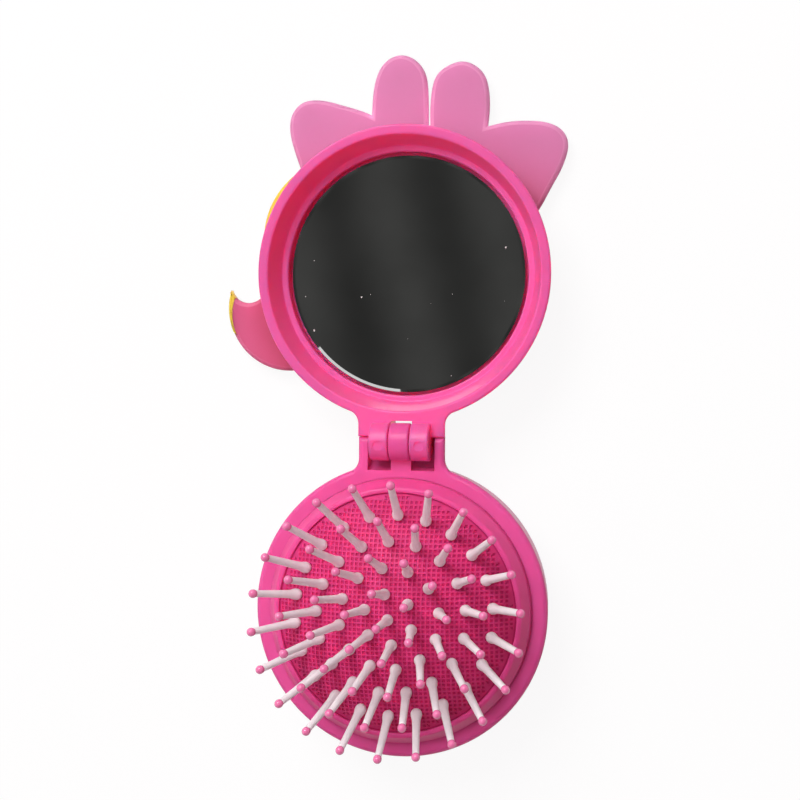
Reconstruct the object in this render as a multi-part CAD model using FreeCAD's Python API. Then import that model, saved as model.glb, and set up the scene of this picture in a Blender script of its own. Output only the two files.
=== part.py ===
import FreeCAD, Part
import math
import os

# Folding travel brush with a mirror lid, lying open and flat. Lengths are in millimetres.
# The origin is the middle of the base's back face. +Z points out of the bristles,
# +Y points from the base over the hinge to the lid, and +X is along the hinge pin.

Vector = FreeCAD.Vector
UP = Vector(0, 0, 1)
ALONG_HINGE = Vector(1, 0, 0)
FULL_TURN = 360.0
QUARTER_TURN = 90.0
HALF = 0.5

# Case
CASE_R = 33.0            # outer radius of base and lid
PART_Z = 16.5            # height of the plane on which the closed lid meets the base
RIM_GAP = 0.15           # each rim stops this far short of that plane
OVERRUN = 1.0            # cuts run past the faces that they open by this much
ROUND_LIMIT_SHARE = 0.45  # a rounded corner uses at most this share of the shorter side beside it

# Base shell
BASE_WALL = 2.4
BASE_DRAFT = 1.5         # the side leans in by this much from the rim to the back
BASE_FLOOR = 2.2
BASE_ROUND = 5.0         # rounding between the side and the back face
BASE_INNER_ROUND = 2.6
SHOULDER_ROUND = 1.1     # rounding of the upper outside edge
BACK_LIP = 2.5           # width of the flat rest face left round the thumb opening
SEAT_DROP = 2.9          # the cushion's flange sits this far under the parting plane
SEAT_T = 2.0

# Retaining ring
SHOULDER_W = 3.5         # land outside the ring, which the lid's rim comes down on
RING_W = 2.95
RING_H = 4.4             # height of the crest over the parting plane
RING_CREST_W = 1.0       # flat of the crest beside the cushion
RING_CREST_ROUND = 1.3
RING_LIP_ROUND = 0.3
RING_OUTER_DROP = 2.9    # the outer edge lies this far under the crest
RING_OUTER_ROUND = 0.9
RING_CLEAR = 0.05

# Rubber cushion
PAD_T = 2.0
PAD_CLEAR = 0.35         # between the cushion's upright and the ring round it
PAD_FLANGE_T = 1.2
PAD_EDGE_H = 4.0         # where the cap starts, over the parting plane
CAP_H = 10.2             # rise of the cap from there to its crown
SEAT_LAP = 0.6           # the seat's bore is this much wider than the cushion's inside

# Bristle pins
RING_COUNTS = (1, 6, 12, 17, 22)
RING_TURNS_DEG = (0.0, 8.4, 8.4, 2.0, 14.0)
GROUP_SIZE = 3           # neighbouring pins that tip together on one strip of the cushion
EDGE_MARGIN = 4.6        # from the outer ring of pins to the cushion's edge
PIN_L = 14.6             # from the cushion's surface to the end of the ball
PIN_TOP_R = 0.72
PIN_LOW_R = 0.92
BULB_R = 1.25
BULB_H = 1.7
BULB_ROUND = 0.7
SHANK_R = 0.85
SHANK_CLEAR = 0.03
HEAD_R = 1.6
HEAD_T = 0.6
TIP_R = 0.95

# Push plate under the crown, pressed by the thumb through the back
PLATE_MARGIN = 2.4       # past the ring of inner pins
PLATE_T = 1.8
PLATE_GAP = 0.05

# Lid
LID_DEPTH = 12.0
LID_DRAFT = 1.1          # the side leans in by this much from the rim to the back
LID_ROUND = 4.0
RIM_ROUND = 0.5
RIM_W = 2.2
WALL_TAPER = 2.0
LEDGE_W = 1.4
LEDGE_DEPTH = 6.0
LEDGE_ROUND = 0.4
MIRROR_GAP = 0.8
MIRROR_DEPTH = 7.2
GLASS_T = 2.0
GLASS_BEVEL_W = 0.6
GLASS_BEVEL_H = 0.05
MIRROR_TAPE_T = 0.5
MIRROR_TAPE_INSET = 1.5

# Hinge
HINGE_OUT = 4.5          # from the case's side to the pin's axis
BARREL_R = 4.2
HINGE_PIN_R = 0.9
HINGE_PIN_CLEAR = 0.05
HINGE_PIN_INSET = 0.15
CENTRE_HALF = 2.25       # half the width of the base's middle knuckle
KNUCKLE_GAP = 0.17
KNUCKLE_W = 4.23
CHEEK_GAP = 0.9
BLOCK_HALF = 9.9         # half the width of the neck and of the two cheeks
SLOT_GAP = 0.45          # swing room round the middle knuckle
POCKET_GAP = 2.2         # swing room round the lid's knuckles
STOP_OUT = 1.0           # the open stop lies this far past the axis
STOP_GAP = 0.05
NECK_DEPTH = 6.5
CHEEK_DEPTH = 8.0
BLOCK_DRAFT = 1.2        # the sides of neck and cheeks lean in by this much towards the back
BLOCK_LAP = 0.5          # their roots reach this much deeper into the case's wall
FLARE_R = 3.0            # hollow rounding where neck and cheeks run into the case's side
KNUCKLE_ROUND = 0.4
THRUST_R = 1.7
THRUST_H = 0.3
THRUST_CLEAR = 0.12
MARK_R = 1.1
MARK_DEPTH = 0.3
MARK_BACK = 0.8          # from the barrel's top towards the base

# Soft plaque on the outside of the lid
PLAQUE_TAPE_T = 0.5
PLAQUE_TAPE_INSET = 9.0
SHEET_T = 2.6
SHEET_INSET = 4.0        # the plaque's disc is this much smaller than the case
INLAY_INSET = 2.0
INLAY_T = 0.7
EDGING_W = 1.6           # yellow edging of the curl at its tip, from where it tapers
EDGING_MIDDLE_SHARE = 0.55  # part of that width left half way along
PETAL_COUNT = 5
PETAL_R = 7.6
PETAL_LAP = 0.55         # each petal runs this far past the line where it meets the next
PETAL_CLEAR = 0.2
BUTTON_R = 7.0

# Outlines of the plaque's lobes from root to root: x and y from the lid's middle, as shares of its radius
TALL_LEFT_SHARES = (
    (-0.279, 0.727), (-0.294, 1.000), (-0.291, 1.182), (-0.264, 1.364), (-0.200, 1.473), (-0.097, 1.518),
    (0.006, 1.485), (0.073, 1.403), (0.100, 1.258), (0.103, 1.000), (0.097, 0.727),
)
TALL_RIGHT_SHARES = (
    (0.118, 0.727), (0.118, 1.000), (0.124, 1.258), (0.164, 1.382), (0.248, 1.445), (0.339, 1.467),
    (0.424, 1.439), (0.488, 1.376), (0.521, 1.273), (0.527, 1.121), (0.503, 0.667),
)
LEAF_LEFT_SHARES = (
    (-0.091, 0.909), (-0.345, 1.130), (-0.500, 1.179), (-0.676, 1.218), (-0.794, 1.197), (-0.861, 1.121),
    (-0.876, 1.003), (-0.845, 0.873), (-0.797, 0.742), (-0.667, 0.545),
)
LEAF_RIGHT_SHARES = (
    (0.273, 0.848), (0.409, 0.985), (0.545, 1.027), (0.630, 1.045), (0.791, 1.055), (0.882, 1.048),
    (0.970, 1.024), (1.036, 0.976), (1.067, 0.903), (1.058, 0.818), (1.018, 0.712), (0.955, 0.597),
    (0.906, 0.503), (0.773, 0.333),
)
# Curl at the lower left, in the same shares: outer arc, way back under the lid, and hollow upper edge
CURL_TIP_SHARE = (-1.291, -0.108)
CURL_SIDE_SHARE = (-1.294, -0.345)
CURL_FOOT_SHARE = (-0.612, -0.585)
CURL_ROOT_SHARE = (-0.818, -0.084)
CURL_NECK_SHARE = (-1.085, -0.164)
CURL_HOLLOW_SHARE = (-1.188, -0.194)
EDGING_END_SHARE = (-1.242, -0.427)
EDGING_OUTSIDE_SHARES = ((-1.379, 0.061), (-1.409, -0.273))
# Yellow lobe over the curl: x, y and radius as shares of the case's radius
YELLOW_SHARES = (-0.493, 0.251, 0.564)

# Places that follow from the sizes above
HINGE_Y = CASE_R + HINGE_OUT
LID_Y = HINGE_Y + HINGE_Y
AXIS = Vector(0, HINGE_Y, PART_Z)
BLOCK_ROOT_R = CASE_R - BLOCK_DRAFT - BLOCK_LAP
LID_CENTRE = Vector(0, LID_Y, 0)
BASE_TOP = PART_Z - RIM_GAP
RING_R = CASE_R - SHOULDER_W
PAD_R = RING_R - RING_W - PAD_CLEAR
SEAT_Z = PART_Z - SEAT_DROP
PAD_EDGE_Z = PART_Z + PAD_EDGE_H
DOME_R = (PAD_R ** 2 + CAP_H ** 2) / (CAP_H + CAP_H)
DOME_Z = PAD_EDGE_Z + CAP_H - DOME_R
PIN_RINGS = len(RING_COUNTS) - 1
RING_STEP = (PAD_R - EDGE_MARGIN) / PIN_RINGS
RIM_IN_R = CASE_R - RIM_W
LEDGE_R = RIM_IN_R - WALL_TAPER
POCKET_R = LEDGE_R - LEDGE_W
MIRROR_R = POCKET_R - MIRROR_GAP
LID_BACK_Z = PART_Z - LID_DEPTH
GLASS_Z = PART_Z - MIRROR_DEPTH - GLASS_T
POCKET_Z = GLASS_Z - MIRROR_TAPE_T
KNUCKLE_IN = CENTRE_HALF + KNUCKLE_GAP
KNUCKLE_OUT = KNUCKLE_IN + KNUCKLE_W
SHEET_TOP = LID_BACK_Z - PLAQUE_TAPE_T
SHEET_BOTTOM = SHEET_TOP - SHEET_T
PETAL_OUT = (PETAL_R - PETAL_LAP) / math.sin(math.pi / PETAL_COUNT)


def rounded_wire(corners, place):
    """Closed wire through corners (u, v, round), with a tangent arc at each round above zero."""
    spots = [Vector(u, v, 0) for u, v, _ in corners]
    bends = []
    for index, (_, _, radius) in enumerate(corners):
        here = spots[index]
        back = spots[index - 1] - here
        ahead = spots[(index + 1) % len(spots)] - here
        half_angle = back.getAngle(ahead) * HALF
        room = ROUND_LIMIT_SHARE * min(back.Length, ahead.Length)
        reach = min(radius / math.tan(half_angle), room)
        back.normalize()
        ahead.normalize()
        middle = back + ahead
        if reach > 0:
            middle.normalize()
            sagitta = reach / math.cos(half_angle) - reach * math.tan(half_angle)
            bends.append((here + back * reach, here + middle * sagitta, here + ahead * reach))
        else:
            bends.append((here, here, here))
    edges = []
    for index, (start, middle, end) in enumerate(bends):
        points = [place(spot.x, spot.y) for spot in (start, middle, end)]
        following = bends[(index + 1) % len(bends)][0]
        if start != end:
            edges.append(Part.Arc(*points).toShape())
        edges.append(Part.makeLine(points[-1], place(following.x, following.y)))
    return Part.Wire(edges)


def revolved(corners):
    """Solid of revolution about Z from corners (radius, height, round)."""
    face = Part.Face(rounded_wire(corners, lambda r, z: Vector(r, 0, z)))
    return face.revolve(Vector(), UP, FULL_TURN)


def cylinder_x(radius, x_low, x_high):
    """Cylinder about the hinge axis between two places along it."""
    return Part.makeCylinder(radius, x_high - x_low, AXIS + Vector(x_low, 0, 0), ALONG_HINGE)


def knuckle_x(x_low, x_high):
    """Hinge knuckle between two places along the axis, with rounded ends."""
    barrel = cylinder_x(BARREL_R, x_low, x_high)
    ends = [edge for edge in barrel.Edges if edge.isClosed() and len(edge.Vertexes) == 1]
    return barrel.makeFillet(KNUCKLE_ROUND, ends)


def mirrored_pair(shape):
    """The shape and its mirror image across the middle of the hinge, as one compound."""
    return Part.makeCompound([shape, shape.mirror(Vector(), ALONG_HINGE)])


def block_outline(front_y, wall_centre, towards, lean, height):
    """Outline of neck or cheeks at one height, where its sides lean in from their full width by so much."""
    centre = wall_centre + UP * height
    flare_r = FLARE_R + lean
    away = math.sqrt((CASE_R + FLARE_R) ** 2 - (BLOCK_HALF + FLARE_R) ** 2)
    flare = centre + Vector(BLOCK_HALF + FLARE_R, -towards * away, 0)
    side = flare - ALONG_HINGE * flare_r
    wall = flare + (centre - flare).normalize() * flare_r
    bend = flare + (side + wall - flare - flare).normalize() * flare_r
    root = centre + (wall - centre).normalize() * BLOCK_ROOT_R
    right = [Vector(side.x, front_y, height), side, bend, wall, root]
    left = [Vector(-spot.x, spot.y, spot.z) for spot in right]
    flanks = [[Part.makeLine(front, side), Part.Arc(side, bend, wall).toShape(), Part.makeLine(wall, root)]
              for front, side, bend, wall, root in (right, left)]
    back, front = Part.makeLine(right[-1], left[-1]), Part.makeLine(left[0], right[0])
    return Part.Wire([*flanks[0], back, *reversed(flanks[1]), front])


def hinge_block(front_y, wall_centre, towards, top, depth, edge_round):
    """Neck or cheeks: a block from a stop face back into a case wall, flared where it meets the wall."""
    block = Part.makeLoft([
        block_outline(front_y, wall_centre, towards, BLOCK_DRAFT, top - depth),
        block_outline(front_y, wall_centre, towards, 0, top),
    ], True, True)
    rim = [edge for edge in block.Edges if all(abs(v.Z - top) < edge_round for v in edge.Vertexes)]
    shown = [edge for edge in rim if edge.CenterOfMass.distanceToPoint(wall_centre + UP * top) > CASE_R]
    block = block.makeFillet(edge_round, shown)
    return block.cut(Part.makeCylinder(BLOCK_ROOT_R, depth, wall_centre + UP * (top - depth)))


def build_base_shell():
    """Bowl with an open back, a seat for the cushion's flange, two cheeks and the middle knuckle."""
    foot_r = CASE_R - BASE_DRAFT
    back_hole_r = foot_r - BASE_ROUND - BACK_LIP
    inner_r = CASE_R - BASE_WALL
    seat_bore = PAD_R - PAD_T + SEAT_LAP
    shell = revolved([
        (back_hole_r, 0, 0),
        (foot_r, 0, BASE_ROUND),
        (CASE_R, BASE_TOP, SHOULDER_ROUND),
        (RING_R + RING_CLEAR, BASE_TOP, 0),
        (RING_R + RING_CLEAR, SEAT_Z, 0),
        (seat_bore, SEAT_Z, 0),
        (seat_bore, SEAT_Z - SEAT_T, 0),
        (inner_r, SEAT_Z - SEAT_T, 0),
        (inner_r - BASE_DRAFT, BASE_FLOOR, BASE_INNER_ROUND),
        (back_hole_r, BASE_FLOOR, 0),
    ])
    front_y = HINGE_Y + STOP_OUT - STOP_GAP
    shell = shell.fuse(hinge_block(front_y, Vector(), -1, BASE_TOP, CHEEK_DEPTH, SHOULDER_ROUND))
    pocket_half = KNUCKLE_OUT + CHEEK_GAP
    shell = shell.cut(cylinder_x(BARREL_R + POCKET_GAP, -pocket_half, pocket_half))
    web_y = HINGE_Y - BARREL_R - POCKET_GAP - OVERRUN * HALF
    web = Part.makeBox(CENTRE_HALF + CENTRE_HALF, HINGE_Y - web_y, BARREL_R + POCKET_GAP + OVERRUN - RIM_GAP,
                       Vector(-CENTRE_HALF, web_y, BASE_TOP - BARREL_R - POCKET_GAP - OVERRUN + RIM_GAP))
    shell = shell.fuse([web, knuckle_x(-CENTRE_HALF, CENTRE_HALF)])
    recess_x = CENTRE_HALF - THRUST_H
    recess = cylinder_x(THRUST_R + THRUST_CLEAR, recess_x, CENTRE_HALF + OVERRUN)
    bore = cylinder_x(HINGE_PIN_R, -CENTRE_HALF, CENTRE_HALF)
    return shell.cut([mirrored_pair(recess), bore]).removeSplitter()


def build_retaining_ring():
    """Raised ring that clamps the cushion's flange in the base's mouth."""
    inner_r = PAD_R + PAD_CLEAR
    crest_z = PART_Z + RING_H
    return revolved([
        (inner_r, SEAT_Z + PAD_FLANGE_T, 0),
        (RING_R, SEAT_Z + PAD_FLANGE_T, 0),
        (RING_R, BASE_TOP, 0),
        (RING_R - RIM_GAP, crest_z - RING_OUTER_DROP, RING_OUTER_ROUND),
        (inner_r + RING_CREST_W, crest_z, RING_CREST_ROUND),
        (inner_r, crest_z, RING_LIP_ROUND),
    ])


def dome_cap(radius):
    """Ball of the dome's centre with a given radius."""
    return Part.makeSphere(radius, Vector(0, 0, DOME_Z))


def build_cushion_pad(pins):
    """Rubber dome with a clamped flange, bored for every pin."""
    inner_r = PAD_R - PAD_T
    height = PAD_EDGE_Z + CAP_H - SEAT_Z
    floor = Vector(0, 0, SEAT_Z)
    outside = Part.makeCylinder(PAD_R, height, floor).common(dome_cap(DOME_R))
    flange = Part.makeCylinder(RING_R - RING_CLEAR, PAD_FLANGE_T, floor)
    inside = Part.makeCylinder(inner_r, height, floor).common(dome_cap(DOME_R - PAD_T))
    pad = outside.fuse(flange).cut(inside)
    bores = []
    for place in pins:
        bore = Part.makeCylinder(SHANK_R + SHANK_CLEAR, PAD_T + OVERRUN + OVERRUN, UP * (-PAD_T - OVERRUN))
        bore.Placement = place
        bores.append(bore)
    return pad.cut(bores).removeSplitter()


def pin_place(ring, index):
    """Where one pin stands on the dome: its root on the surface, its axis along the surface's normal."""
    radius = ring * RING_STEP
    tilt = math.asin(radius / DOME_R)
    turn = QUARTER_TURN + RING_TURNS_DEG[ring] - FULL_TURN * index / RING_COUNTS[ring]
    heading = FreeCAD.Rotation(UP, turn)
    lean = FreeCAD.Rotation(Vector(0, 1, 0), math.degrees(tilt))
    root = heading.multVec(Vector(radius, 0, DOME_Z + DOME_R * math.cos(tilt)))
    return FreeCAD.Placement(root, heading.multiply(lean))


def build_pin():
    """One nylon pin at the origin: head under the cushion, shank, bulb and tapered shaft."""
    head_top = -PAD_T - SHANK_CLEAR
    top = PIN_L - TIP_R
    return revolved([
        (0, head_top - HEAD_T, 0),
        (HEAD_R, head_top - HEAD_T, 0),
        (HEAD_R, head_top, 0),
        (SHANK_R, head_top, 0),
        (SHANK_R, SHANK_CLEAR, 0),
        (BULB_R, SHANK_CLEAR, 0),
        (BULB_R, BULB_H, BULB_ROUND),
        (PIN_LOW_R, BULB_H, 0),
        (PIN_TOP_R, top, 0),
        (0, top, 0),
    ])


def build_tip(pin):
    """Resin ball dipped over the end of one pin."""
    return Part.makeSphere(TIP_R, UP * (PIN_L - TIP_R)).cut(pin)


def placed_group(shape, places):
    """Copies of one piece at several places, as one compound of separate solids."""
    copies = []
    for place in places:
        copy = shape.copy()
        copy.Placement = place
        copies.append(copy)
    return Part.makeCompound(copies)


def build_push_plate():
    """Domed plate against the heads of the core and inner pins."""
    top_r = DOME_R - PAD_T - SHANK_CLEAR - HEAD_T - PLATE_GAP
    plate_r = RING_STEP + RING_STEP + PLATE_MARGIN
    shell = dome_cap(top_r).cut(dome_cap(top_r - PLATE_T))
    column = Part.makeCylinder(plate_r, DOME_R, Vector(0, 0, DOME_Z))
    return shell.common(column)


def build_lid_shell():
    """Shallow cup with a tapered inside, a ledge, a mirror pocket, the neck and two knuckles."""
    rim_z = BASE_TOP
    cup = revolved([
        (0, LID_BACK_Z, 0),
        (CASE_R - LID_DRAFT, LID_BACK_Z, LID_ROUND),
        (CASE_R, rim_z, RIM_ROUND),
        (RIM_IN_R, rim_z, RIM_ROUND),
        (LEDGE_R, PART_Z - LEDGE_DEPTH, LEDGE_ROUND),
        (POCKET_R, PART_Z - LEDGE_DEPTH, LEDGE_ROUND),
        (POCKET_R, POCKET_Z, 0),
        (0, POCKET_Z, 0),
    ])
    cup.translate(LID_CENTRE)
    front_y = HINGE_Y + STOP_OUT + STOP_GAP
    neck = hinge_block(front_y, LID_CENTRE, 1, rim_z, NECK_DEPTH, RIM_ROUND)
    slot_r = BARREL_R + SLOT_GAP
    slot = Part.makeBox(KNUCKLE_IN + KNUCKLE_IN, slot_r, slot_r + NECK_DEPTH,
                        AXIS - Vector(KNUCKLE_IN, 0, NECK_DEPTH + OVERRUN))
    knuckle = knuckle_x(KNUCKLE_IN, KNUCKLE_OUT)
    thrust = cylinder_x(THRUST_R, KNUCKLE_IN - THRUST_H, KNUCKLE_IN)
    bore = cylinder_x(HINGE_PIN_R + HINGE_PIN_CLEAR, -KNUCKLE_OUT - OVERRUN, KNUCKLE_OUT + OVERRUN)
    mark_x = KNUCKLE_IN + KNUCKLE_W * HALF
    mark_z = math.sqrt(BARREL_R ** 2 - MARK_BACK ** 2) - MARK_DEPTH
    mark = Part.makeCylinder(MARK_R, MARK_DEPTH + OVERRUN, AXIS + Vector(mark_x, -MARK_BACK, mark_z))
    shell = cup.fuse(neck).cut(slot)
    shell = shell.fuse([mirrored_pair(knuckle), mirrored_pair(thrust)])
    return shell.cut([bore, mirrored_pair(mark)]).removeSplitter()


def build_hinge_pin():
    """Steel pin pressed into the middle knuckle and running in the lid's knuckles."""
    reach = KNUCKLE_OUT - HINGE_PIN_INSET
    return cylinder_x(HINGE_PIN_R, -reach, reach)


def lid_disc(radius, bottom, thickness, x=0, y=0):
    """Flat disc in the lid, placed from the lid's middle."""
    return Part.makeCylinder(radius, thickness, LID_CENTRE + Vector(x, y, bottom))


def build_mirror_glass():
    """Round mirror with a bevelled edge."""
    top = GLASS_Z + GLASS_T
    glass = revolved([
        (0, GLASS_Z, 0),
        (MIRROR_R, GLASS_Z, 0),
        (MIRROR_R, top - GLASS_BEVEL_H, 0),
        (MIRROR_R - GLASS_BEVEL_W, top, 0),
        (0, top, 0),
    ])
    glass.translate(LID_CENTRE)
    return glass


def scaled(shares):
    """Shares of the case's radius as lengths."""
    return [share * CASE_R for share in shares]


def plaque_spot(share, height):
    """Place on the plaque from its x and y shares."""
    x, y = scaled(share)
    return LID_CENTRE + Vector(x, y, height)


def lobe(shares, inset, bottom, thickness):
    """Lobe of the plaque inside a smooth outline, whose spots are drawn in towards its middle by an inset."""
    spots = [plaque_spot(share, bottom) for share in shares]
    middle = sum(spots, Vector()) / len(spots)
    spots = [spot + (middle - spot).normalize() * inset for spot in spots]
    curve = Part.BSplineCurve()
    curve.interpolate(spots)
    face = Part.Face(Part.Wire([curve.toShape(), Part.makeLine(spots[-1], spots[0])]))
    return face.extrude(UP * thickness)


def build_curl():
    """Curl at the plaque's lower left and the yellow edging along its outer side."""
    tip, side, foot, root, neck, hollow, end, top, far = [plaque_spot(share, SHEET_BOTTOM) for share in (
        CURL_TIP_SHARE, CURL_SIDE_SHARE, CURL_FOOT_SHARE, CURL_ROOT_SHARE, CURL_NECK_SHARE, CURL_HOLLOW_SHARE,
        EDGING_END_SHARE, *EDGING_OUTSIDE_SHARES)]
    outer = Part.Arc(tip, side, foot).toShape()
    centre = outer.Curve.Center
    curl = Part.Face(Part.Wire([
        outer,
        Part.makeLine(foot, root),
        Part.makeLine(root, neck),
        Part.Arc(neck, hollow, tip).toShape(),
    ])).extrude(UP * SHEET_T)
    half_way = outer.valueAt((outer.Curve.parameter(tip) + outer.Curve.parameter(end)) * HALF)
    inner_tip = tip + (centre - tip).normalize() * EDGING_W
    inner_half = half_way + (centre - half_way).normalize() * EDGING_W * EDGING_MIDDLE_SHARE
    strip = Part.Face(Part.Wire([
        Part.Arc(end, inner_half, inner_tip).toShape(),
        Part.makeLine(inner_tip, top),
        Part.makeLine(top, far),
        Part.makeLine(far, end),
    ])).extrude(UP * SHEET_T)
    return curl.cut(strip), curl.common(strip)


def build_plaque():
    """Nodes of the soft plaque: tape, sheet with lobes and curl, inlays, petals, button and yellow trim."""
    yellow_x, yellow_y, yellow_r = scaled(YELLOW_SHARES)
    curl, edging = build_curl()
    lobe_shares = (TALL_LEFT_SHARES, TALL_RIGHT_SHARES, LEAF_LEFT_SHARES, LEAF_RIGHT_SHARES)
    body = lid_disc(CASE_R - SHEET_INSET, SHEET_BOTTOM, SHEET_T)
    body = body.fuse([lobe(shares, 0, SHEET_BOTTOM, SHEET_T) for shares in lobe_shares])
    yellow = lid_disc(yellow_r, SHEET_BOTTOM, SHEET_T, yellow_x, yellow_y).cut([body, curl])
    sheet = body.fuse(curl).removeSplitter()

    petals = []
    flower_clear = PETAL_OUT + PETAL_R + PETAL_CLEAR
    for index in range(PETAL_COUNT):
        angle = math.radians(QUARTER_TURN + FULL_TURN * index / PETAL_COUNT)
        x, y = PETAL_OUT * math.cos(angle), PETAL_OUT * math.sin(angle)
        petals.append(lid_disc(PETAL_R, 0, SHEET_BOTTOM, x, y))
    button = lid_disc(BUTTON_R, 0, SHEET_BOTTOM)
    flower = petals[0].fuse(petals[1:]).cut(button)
    clear = lid_disc(flower_clear, SHEET_BOTTOM - INLAY_T, INLAY_T)
    inlays = [lobe(shares, INLAY_INSET, SHEET_BOTTOM - INLAY_T, INLAY_T) for shares in lobe_shares]
    tall_left, tall_right, leaf_left, leaf_right = inlays
    cut_inlays = [
        tall_left.cut(clear),
        tall_right.cut(clear),
        leaf_left.cut([clear, tall_left]),
        leaf_right.cut([clear, tall_right]),
    ]
    return {
        "plaque_tape": lid_disc(CASE_R - PLAQUE_TAPE_INSET, SHEET_TOP, PLAQUE_TAPE_T),
        "plaque_sheet": sheet,
        "plaque_inlays": Part.makeCompound(cut_inlays),
        "plaque_petals": flower.removeSplitter(),
        "plaque_button": button,
        "plaque_trim": Part.makeCompound([edging, yellow]),
    }


def build_bristles():
    """Nodes of pins and tips: core, inner ring, and small groups of the middle and outer rings."""
    pin = build_pin()
    tip = build_tip(pin)
    rings = [[pin_place(ring, index) for index in range(count)] for ring, count in enumerate(RING_COUNTS)]
    groups = {"core": rings[0] + rings[1], "inner": rings[2]}
    for name, places in (("middle", rings[3]), ("outer", rings[4])):
        for start in range(0, len(places), GROUP_SIZE):
            groups[f"{name}_{start // GROUP_SIZE + 1}"] = places[start:start + GROUP_SIZE]
    nodes = {}
    for name, places in groups.items():
        row, _, number = name.partition("_")
        ending = f"_{number}" if number else ""
        nodes[f"{row}_pins{ending}"] = placed_group(pin, places)
        nodes[f"{row}_tips{ending}"] = placed_group(tip, places)
    all_places = [place for ring in rings for place in ring]
    return nodes, all_places


def build_parts():
    """Every node of the brush by name."""
    bristles, places = build_bristles()
    parts = {
        "base_shell": build_base_shell(),
        "retaining_ring": build_retaining_ring(),
        "cushion_pad": build_cushion_pad(places),
        "push_plate": build_push_plate(),
        "hinge_pin": build_hinge_pin(),
        "lid_shell": build_lid_shell(),
        "mirror_glass": build_mirror_glass(),
        "mirror_tape": lid_disc(MIRROR_R - MIRROR_TAPE_INSET, POCKET_Z, MIRROR_TAPE_T),
    }
    parts.update(build_plaque())
    parts.update(bristles)
    return parts


os.makedirs("parts", exist_ok=True)
for node, shape in build_parts().items():
    shape.exportStep(f"parts/{node}.step")
    print(node, len(shape.Solids), round(shape.Volume), shape.isValid())
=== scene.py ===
import logging
import math
from dataclasses import dataclass, field
from enum import Enum

import bmesh
import bpy
from mathutils import Matrix, Vector
from mathutils.bvhtree import BVHTree


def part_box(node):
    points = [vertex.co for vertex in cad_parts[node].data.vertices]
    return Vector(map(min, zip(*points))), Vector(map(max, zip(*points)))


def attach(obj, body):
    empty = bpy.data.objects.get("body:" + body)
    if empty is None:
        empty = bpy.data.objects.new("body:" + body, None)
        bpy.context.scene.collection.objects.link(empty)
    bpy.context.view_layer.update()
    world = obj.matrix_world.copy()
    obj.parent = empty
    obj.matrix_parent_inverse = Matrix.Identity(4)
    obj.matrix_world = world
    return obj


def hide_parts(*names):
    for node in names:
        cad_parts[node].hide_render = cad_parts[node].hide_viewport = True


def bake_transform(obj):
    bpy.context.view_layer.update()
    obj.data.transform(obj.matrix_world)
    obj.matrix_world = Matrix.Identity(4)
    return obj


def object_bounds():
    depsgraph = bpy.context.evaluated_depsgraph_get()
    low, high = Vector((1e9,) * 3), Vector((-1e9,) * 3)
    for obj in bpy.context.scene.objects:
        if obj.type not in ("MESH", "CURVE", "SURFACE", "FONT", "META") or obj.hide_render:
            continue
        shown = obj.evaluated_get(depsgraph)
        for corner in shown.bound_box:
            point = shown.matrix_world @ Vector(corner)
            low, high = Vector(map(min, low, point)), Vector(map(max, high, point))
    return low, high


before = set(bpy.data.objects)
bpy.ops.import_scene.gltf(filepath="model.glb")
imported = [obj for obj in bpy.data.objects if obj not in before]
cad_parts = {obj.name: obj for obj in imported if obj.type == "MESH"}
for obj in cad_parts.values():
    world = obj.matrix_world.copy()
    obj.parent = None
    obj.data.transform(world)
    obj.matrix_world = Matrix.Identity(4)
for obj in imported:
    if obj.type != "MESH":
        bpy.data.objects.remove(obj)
CAD_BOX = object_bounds()

# Folding travel brush, lying open and flat. The frame is in metres: +Z points out of the bristles, +Y points
# from the base over the hinge to the lid, and +X runs along the hinge pin. The brush's classes hold their
# sizes in millimetres, and the studio's in metres unless a comment says otherwise.

LOG = logging.getLogger("travel_brush")
MM = 0.001
WELD = 0.0005            # millimetres; points closer than this are one point
FULL_TURN = math.tau
MIX_A, MIX_B, MIX_OUT = 6, 7, 2   # colour sockets of the Mix node
WAVE_PHASE = 20.0        # phase of the Wave texture over one unit
NOISE_LOW, NOISE_HIGH = 0.3, 0.7  # range that most of a Noise texture lies in
NOISE_DETAIL = 3.0

Socket = bpy.types.NodeSocket
Tree = bpy.types.NodeTree
Material = bpy.types.Material
Object = bpy.types.Object
Triple = tuple[float, float, float]


class Body(Enum):
    """Bodies of the model that pieces ride on by name."""

    BASE = "base"
    LID = "lid"
    PLUNGER = "plunger"


class Slot(Enum):
    """Material slots of the part."""

    CASE = "case_plastic"
    CUSHION = "cushion_rubber"
    PIN_STEEL = "pin_steel"
    PLATE = "plate_plastic"
    MIRROR = "mirror_face"
    TAPE = "foam_tape"
    PLAQUE = "plaque_pink"
    PLAQUE_PALE = "plaque_pale"
    PLAQUE_ROSE = "plaque_rose"
    PLAQUE_YELLOW = "plaque_yellow"
    NYLON = "pin_nylon"
    RESIN = "tip_resin"


def linear(colour: str) -> tuple[float, float, float, float]:
    """Turns an sRGB hex colour into linear RGBA.

    Args:
        colour: six hex digits.
    Returns:
        Linear red, green and blue, and an alpha of one.
    """
    channels = [int(colour[start:start + 2], 16) / 255 for start in (0, 2, 4)]
    red, green, blue = [c / 12.92 if c <= 0.04045 else ((c + 0.055) / 1.055) ** 2.4 for c in channels]
    return red, green, blue, 1.0


def add_node(tree: Tree, kind: str, sockets: dict[str | int, object] | None = None,
             **settings: object) -> bpy.types.Node:
    """Adds one shader node with its settings, values and links.

    Args:
        tree: node tree of a material or of the world.
        kind: type of the node.
        sockets: input names or numbers, each with a value or the output that feeds it.
        settings: properties of the node.
    Returns:
        The new node.
    """
    node = tree.nodes.new(kind)
    for name, value in settings.items():
        setattr(node, name, value)
    for key, value in (sockets or {}).items():
        if isinstance(value, Socket):
            tree.links.new(value, node.inputs[key])
        else:
            node.inputs[key].default_value = value
    return node


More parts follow.
